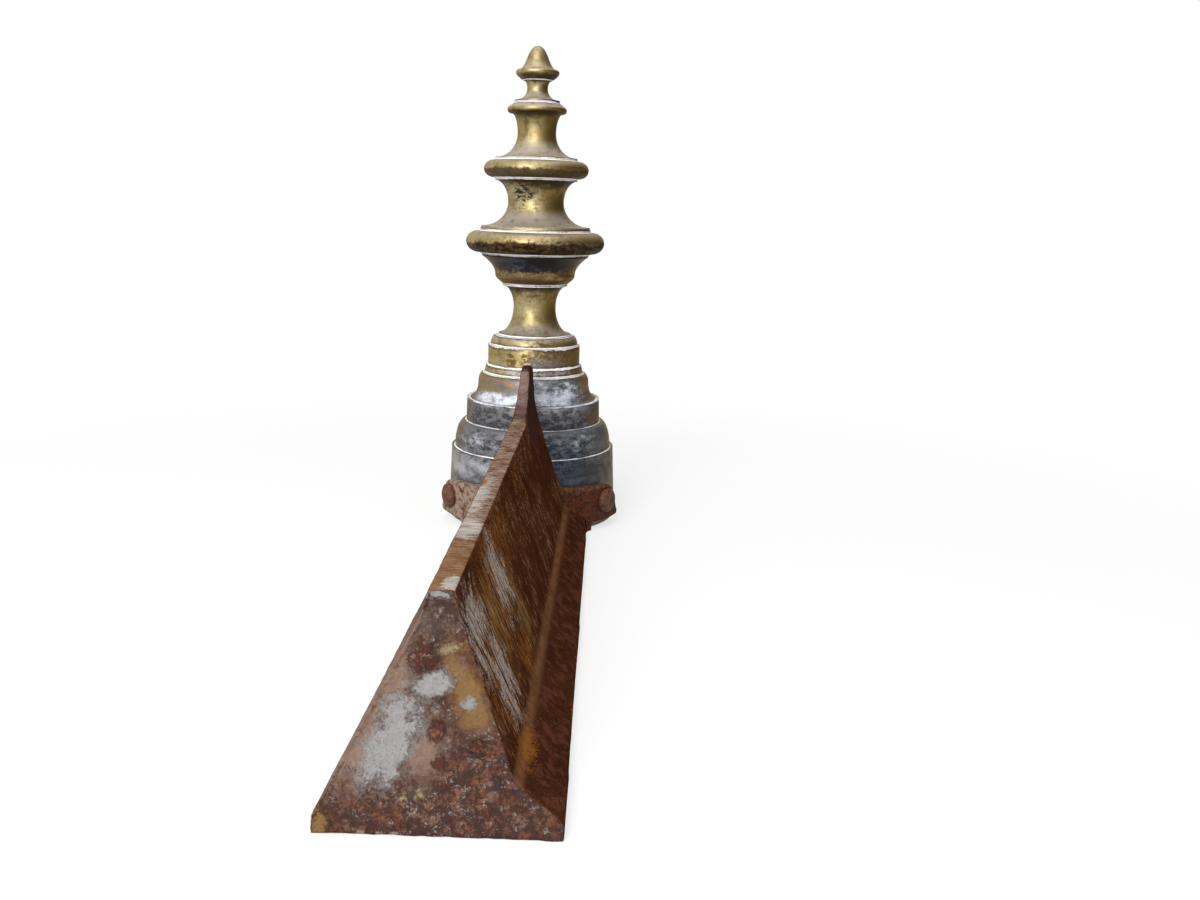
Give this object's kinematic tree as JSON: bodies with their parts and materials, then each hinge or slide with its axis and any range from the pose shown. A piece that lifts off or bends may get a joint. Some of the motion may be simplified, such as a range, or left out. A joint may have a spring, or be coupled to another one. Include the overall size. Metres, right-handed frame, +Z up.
{
  "type": "andiron",
  "caption": "Antique andiron: a stacked turned-brass column on a drum base, clamped by a hidden iron rod, with a rusty cast-iron log bar saddled on behind.",
  "frame": {"origin": "on the floor, under the middle of the bounding box", "axes": "+Z up; +Y from the brass column along the log bar to its rear end, so the brass face looks to -Y; +X sideways"},
  "size_m": [0.1282, 0.4966, 0.33],
  "materials": {
    "aged_brass": "worn satin, dark specks and pale polish left in the grooves",
    "heat_tinted_brass": "grey-blue heat tint with white bloom and dark blotches",
    "blackened_brass": "near-black smoke patina, worn back to gold at its lower edge",
    "rusty_cast_iron": "scaly brown rust with grey-white ash patches",
    "rusty_screw_iron": "smooth brown rust",
    "wrought_iron": "black forge scale with thin rust"
  },
  "bodies": {
    "root": {"base_drum": "heat_tinted_brass", "ogee_bell": "heat_tinted_brass", "upper_drum": "aged_brass", "cap_ring": "aged_brass", "neck": "aged_brass", "bowl": "blackened_brass", "great_ring": "aged_brass", "middle_spool": "aged_brass", "upper_ring": "aged_brass", "upper_spool": "aged_brass", "tip_collar": "aged_brass", "tip_nut": "aged_brass", "tie_rod": "wrought_iron", "bridge_bar": "wrought_iron", "rod_washer": "wrought_iron", "rod_nut": "wrought_iron", "log_bar": "rusty_cast_iron", "ear_screws": "rusty_screw_iron", "ear_washers": "wrought_iron", "ear_nuts": "wrought_iron"}
  },
  "joints": []
}
